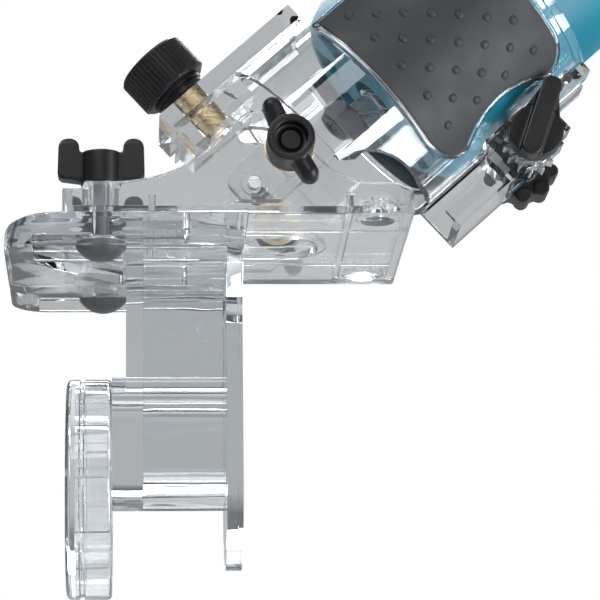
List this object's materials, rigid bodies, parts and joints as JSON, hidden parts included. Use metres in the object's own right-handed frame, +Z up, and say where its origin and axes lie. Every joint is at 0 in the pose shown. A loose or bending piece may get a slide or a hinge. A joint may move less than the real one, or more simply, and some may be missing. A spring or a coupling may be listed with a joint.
{
  "type": "trim router",
  "caption": "Trim router whose barrel motor tilts and slides in a clear holder on a clear base, with a clear edge guide and dust chute below.",
  "frame": {"origin": "on the sole plane, under the tilt pivot, midway between the two cheeks, in the bit opening", "axes": "+X along the base towards the raised end of the motor, +Y across the base away from the near cheek, +Z up out of the work"},
  "size_m": [0.2385, 0.1156, 0.276],
  "materials": {
    "clear_plastic": "clear polycarbonate, glossy, with moulded edges",
    "black_plastic": "moulded black nylon, fine satin grain",
    "black_rubber": "soft matt black elastomer with raised dimples",
    "teal_plastic": "moulded teal nylon, satin",
    "steel": "turned bright steel",
    "plated_steel": "yellow passivated steel",
    "dark_steel": "black oxide steel, slightly rough",
    "brass": "machined brass",
    "iron_core": "stacked electrical steel",
    "copper": "enamelled copper wire",
    "carbon": "pressed carbon",
    "ceramic": "off-white moulded terminal block"
  },
  "bodies": {
    "tilt_base": {"base_plate": "clear_plastic", "pivot_pins": "steel", "carriage_bolts": "dark_steel", "bolt_washers": "steel"},
    "holder": {"motor_holder": "clear_plastic", "grip_pads": "black_rubber", "tilt_studs": "steel", "knob_washers": "plated_steel", "threaded_insert": "brass", "clamp_washer": "steel"},
    "motor_unit": {"motor_housing": "teal_plastic", "top_cap": "black_plastic", "cap_screws": "steel", "depth_rack": "dark_steel", "front_bearing": "steel", "rear_bearing": "steel", "bearing_sleeve": "black_plastic", "bearing_plate": "iron_core", "fan_baffle": "black_plastic", "stator_core": "iron_core", "field_coils": "copper", "brush_holders": "brass", "carbon_brushes": "carbon", "brush_springs": "steel", "brush_caps": "black_plastic", "switch_body": "black_plastic", "terminal_block": "ceramic", "cord_gland": "black_plastic"},
    "rotor": {"spindle": "steel", "collet": "steel", "armature_core": "iron_core", "armature_winding": "copper", "commutator": "brass", "cooling_fan": "black_plastic", "fan_spacer": "steel"},
    "collet_nut": {"collet_nut": "dark_steel"},
    "switch_rocker": {"switch_rocker": "black_plastic"},
    "adjuster": {"adjust_shaft": "steel", "adjust_knob": "black_plastic"},
    "clamp_nut": {"clamp_nut": "black_plastic"},
    "tilt_knob_near": {"tilt_knob_near": "black_plastic"},
    "tilt_knob_far": {"tilt_knob_far": "black_plastic"},
    "accessory_clamp": {"accessory_knob": "black_plastic", "accessory_screw": "dark_steel"},
    "edge_guide": {"guide_plate": "clear_plastic", "guide_shield": "clear_plastic"},
    "guide_knob_near": {"guide_knob_near": "black_plastic"},
    "guide_knob_far": {"guide_knob_far": "black_plastic"}
  },
  "joints": [
    {"name": "holder_tilt", "type": "hinge", "parent": "tilt_base", "child": "holder", "pos_m": [0, 0, 0.01], "axis": [0, 1, 0], "range_deg": [-48, 0]},
    {"name": "depth_slide", "type": "slide", "parent": "holder", "child": "motor_unit", "axis": [0.7431, 0, 0.6691], "range_m": [-0.02, 0.01]},
    {"name": "adjust_spin", "type": "hinge", "parent": "holder", "child": "adjuster", "pos_m": [0.09229, 0, 0.03453], "axis": [0, 1, 0], "range_deg": [-145, 75]},
    {"name": "clamp_turn", "type": "hinge", "parent": "holder", "child": "clamp_nut", "pos_m": [0.09229, -0.018, 0.03453], "axis": [0, 1, 0], "range_deg": [0, 90]},
    {"name": "tilt_knob_near_turn", "type": "hinge", "parent": "holder", "child": "tilt_knob_near", "pos_m": [0.01099, -0.05, 0.02111], "axis": [0, 1, 0], "continuous": true},
    {"name": "tilt_knob_far_turn", "type": "hinge", "parent": "holder", "child": "tilt_knob_far", "pos_m": [0.01099, 0.05, 0.02111], "axis": [0, 1, 0], "continuous": true},
    {"name": "accessory_knob_turn", "type": "hinge", "parent": "holder", "child": "accessory_clamp", "pos_m": [-0.02601, 0, 0.05682], "axis": [0.6691, 0, -0.7431], "continuous": true},
    {"name": "spindle_spin", "type": "hinge", "parent": "motor_unit", "child": "rotor", "pos_m": [0.07284, 0, 0.07855], "axis": [0.7431, 0, 0.6691], "continuous": true},
    {"name": "collet_nut_turn", "type": "hinge", "parent": "rotor", "child": "collet_nut", "pos_m": [0.03197, 0, 0.04175], "axis": [0.7431, 0, 0.6691], "continuous": true},
    {"name": "switch_rock", "type": "hinge", "parent": "motor_unit", "child": "switch_rocker", "pos_m": [0.15043, 0, 0.12419], "axis": [0, 1, 0], "range_deg": [0, 14]},
    {"name": "guide_slide", "type": "slide", "parent": "tilt_base", "child": "edge_guide", "axis": [1, 0, 0], "range_m": [-0.025, 0]},
    {"name": "guide_knob_near_turn", "type": "hinge", "parent": "tilt_base", "child": "guide_knob_near", "pos_m": [-0.048, -0.034, 0.015], "axis": [0, 0, 1], "continuous": true},
    {"name": "guide_knob_far_turn", "type": "hinge", "parent": "tilt_base", "child": "guide_knob_far", "pos_m": [-0.048, 0.034, 0.015], "axis": [0, 0, 1], "continuous": true}
  ],
  "couplings": [
    {"joint": "adjust_spin", "follows": "depth_slide", "rad_per_m": 123.08}
  ]
}
